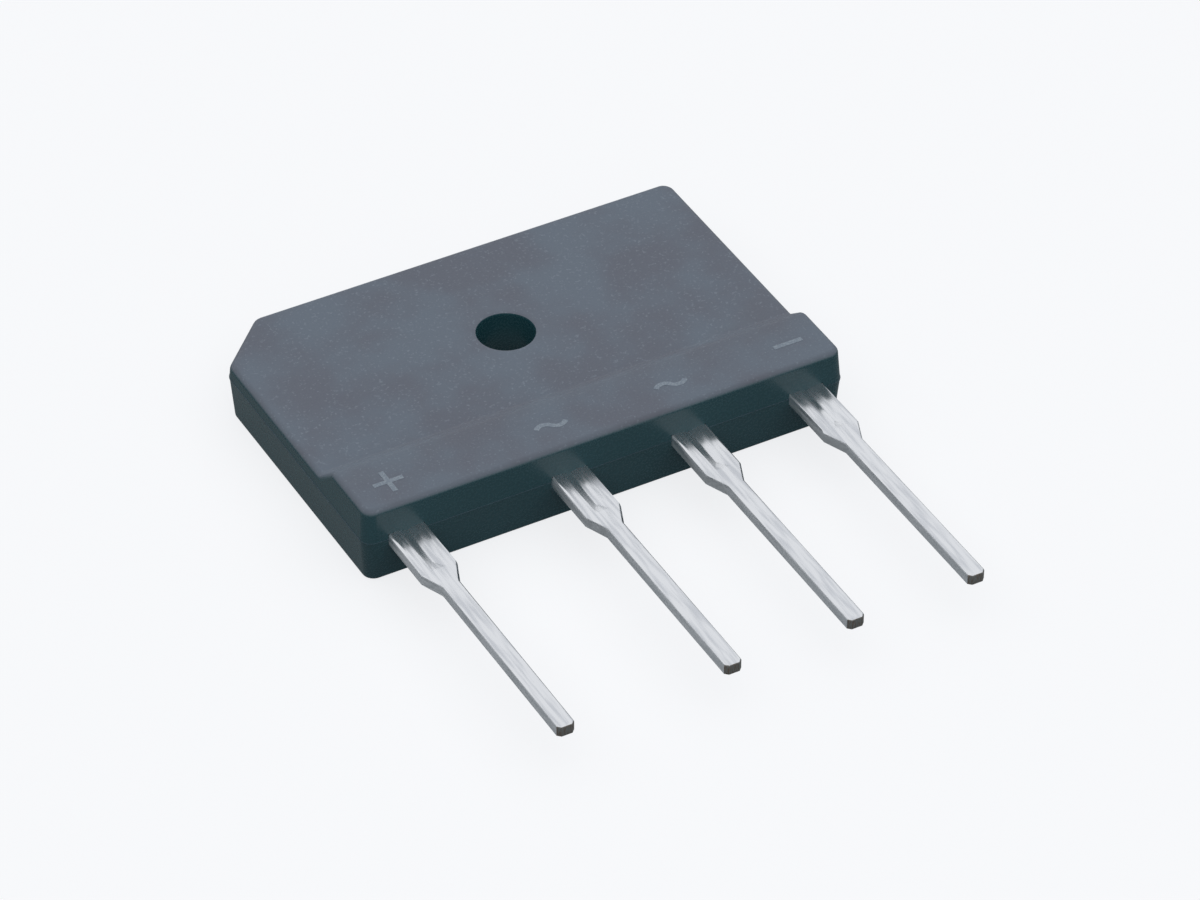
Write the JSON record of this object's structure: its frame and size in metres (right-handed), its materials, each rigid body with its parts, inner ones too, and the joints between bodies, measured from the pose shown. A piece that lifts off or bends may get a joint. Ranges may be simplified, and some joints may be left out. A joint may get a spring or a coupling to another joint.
{
  "type": "bridge rectifier",
  "caption": "Flat moulded single-in-line bridge rectifier with a screw hole, a cut corner and a row of flat tinned leads.",
  "frame": {"origin": "where the axis of the screw hole meets the flat heat-sink face", "axes": "+X along the body from the cut positive corner to the negative end, +Y from the leads to the plain top edge, +Z out of the printed front face; the part lies on its heat-sink face"},
  "size_m": [0.03, 0.038, 0.0048],
  "materials": {
    "moulded_epoxy": "fine satin mould texture",
    "tinned_copper": "bright tin plate over stamped copper sheet",
    "silicon": "polished grey, never seen",
    "solder": "dull grey, never seen",
    "bare_copper": "bare rolled copper, never seen"
  },
  "bodies": {
    "root": {"body": "moulded_epoxy", "lead_positive": "tinned_copper", "lead_ac_1": "tinned_copper", "lead_ac_2": "tinned_copper", "lead_negative": "tinned_copper", "diode_die_1": "silicon", "diode_die_2": "silicon", "diode_die_3": "silicon", "diode_die_4": "silicon", "die_solder_1": "solder", "die_solder_2": "solder", "die_solder_3": "solder", "die_solder_4": "solder", "clip_solder_1": "solder", "clip_solder_2": "solder", "clip_solder_3": "solder", "clip_solder_4": "solder", "landing_solder_ac_1": "solder", "landing_solder_ac_2": "solder", "landing_solder_negative": "solder", "clip_ac_1": "bare_copper", "clip_ac_2": "bare_copper", "clip_negative": "bare_copper"}
  },
  "joints": []
}
